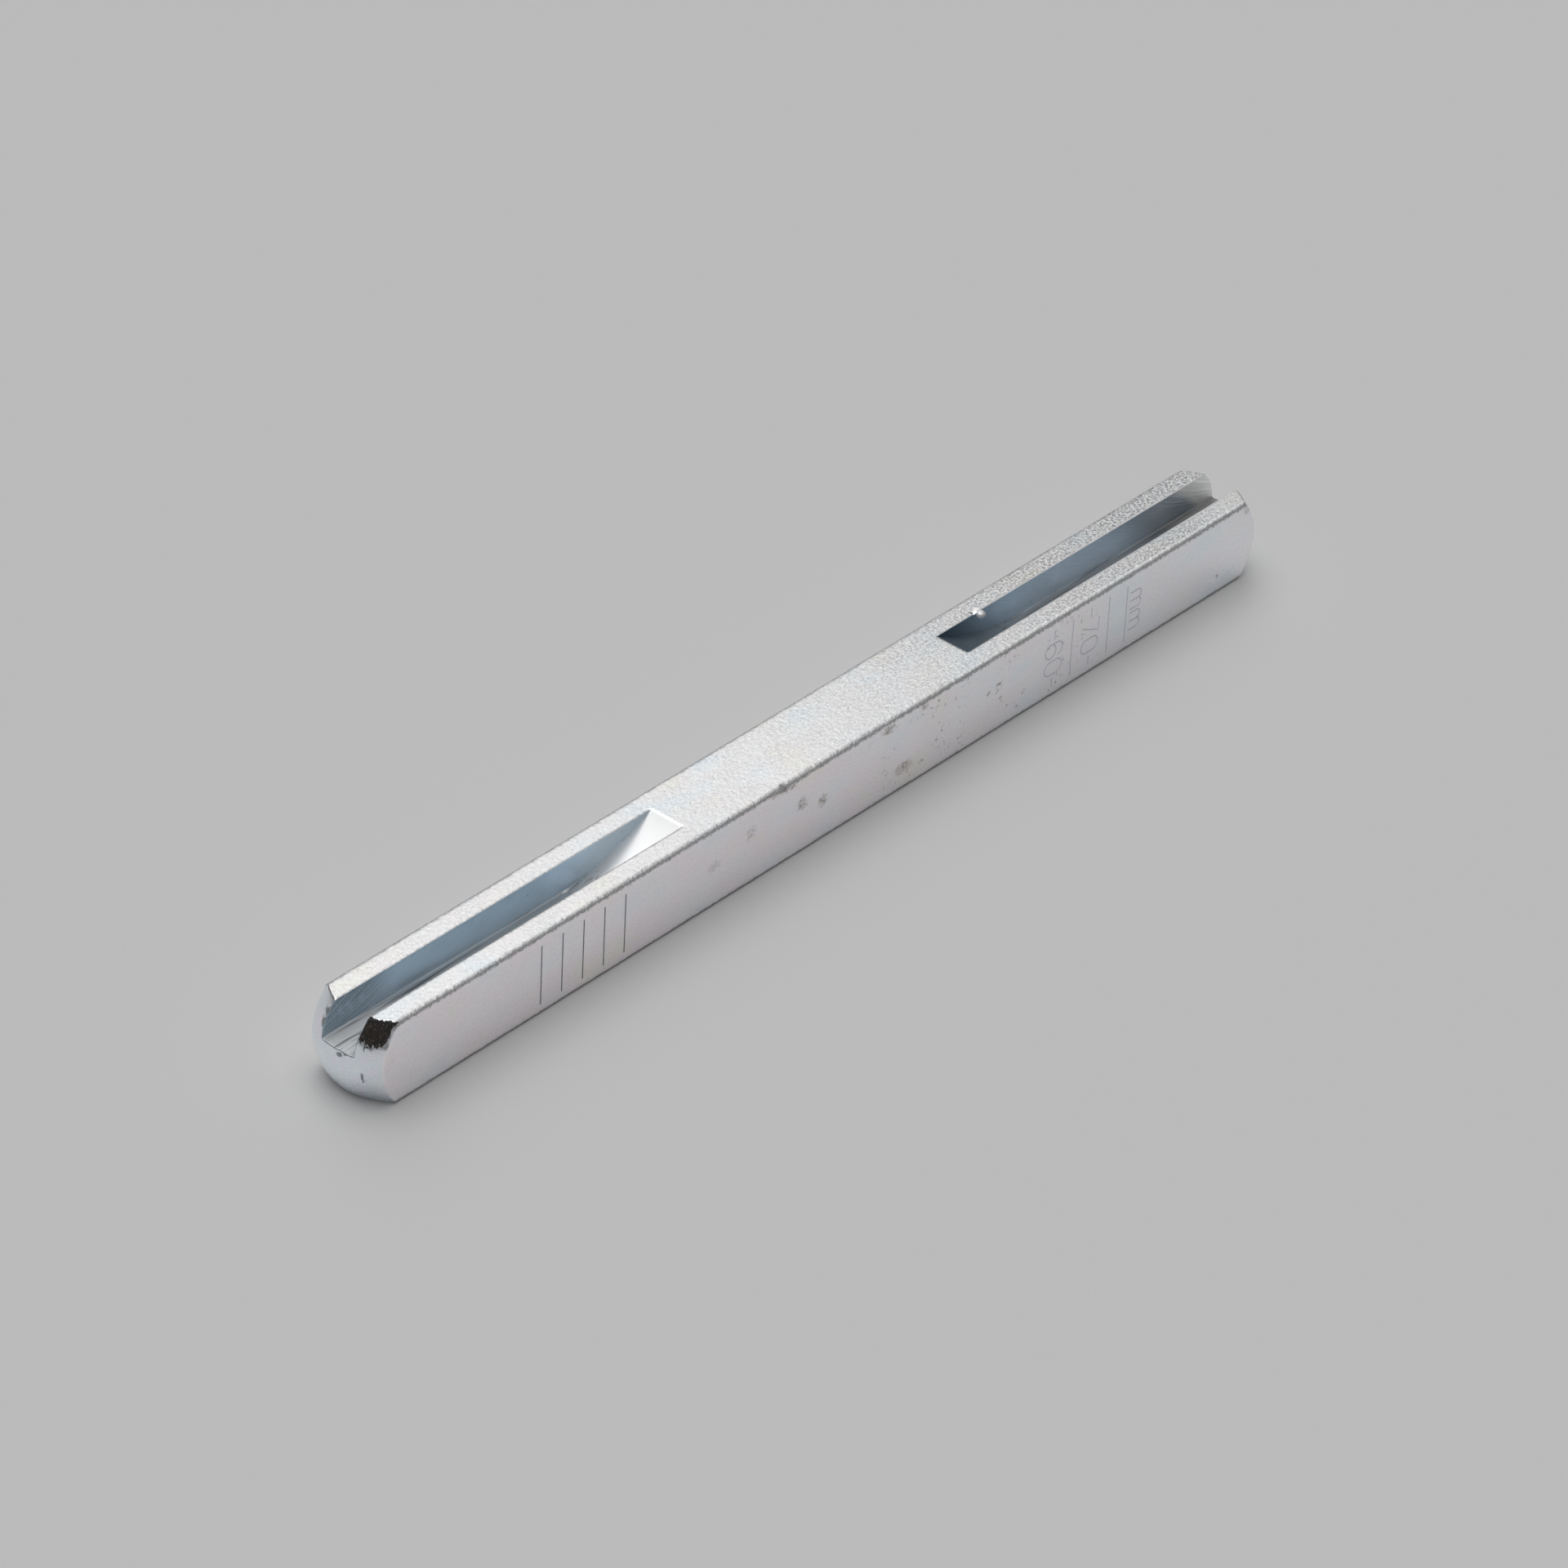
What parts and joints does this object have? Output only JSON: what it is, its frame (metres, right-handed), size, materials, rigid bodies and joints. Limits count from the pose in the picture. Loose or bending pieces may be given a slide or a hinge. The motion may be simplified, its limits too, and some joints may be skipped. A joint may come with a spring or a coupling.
{
  "type": "door handle spindle",
  "caption": "Square steel lever-handle spindle with turned, coned tips, a milled slot open at each end, and an engraved adjustment scale on one face.",
  "frame": {"origin": "middle of the bar, on the flat face that it lies on", "axes": "+X along the bar towards the numbered end of the scale, -Y out of the engraved face, +Z out of the slotted face"},
  "size_m": [0.114, 0.008, 0.008],
  "materials": {
    "zinc_plated_steel": "bright zinc plate over ground steel, milled slots"
  },
  "bodies": {
    "root": {"spindle": "zinc_plated_steel"}
  },
  "joints": []
}
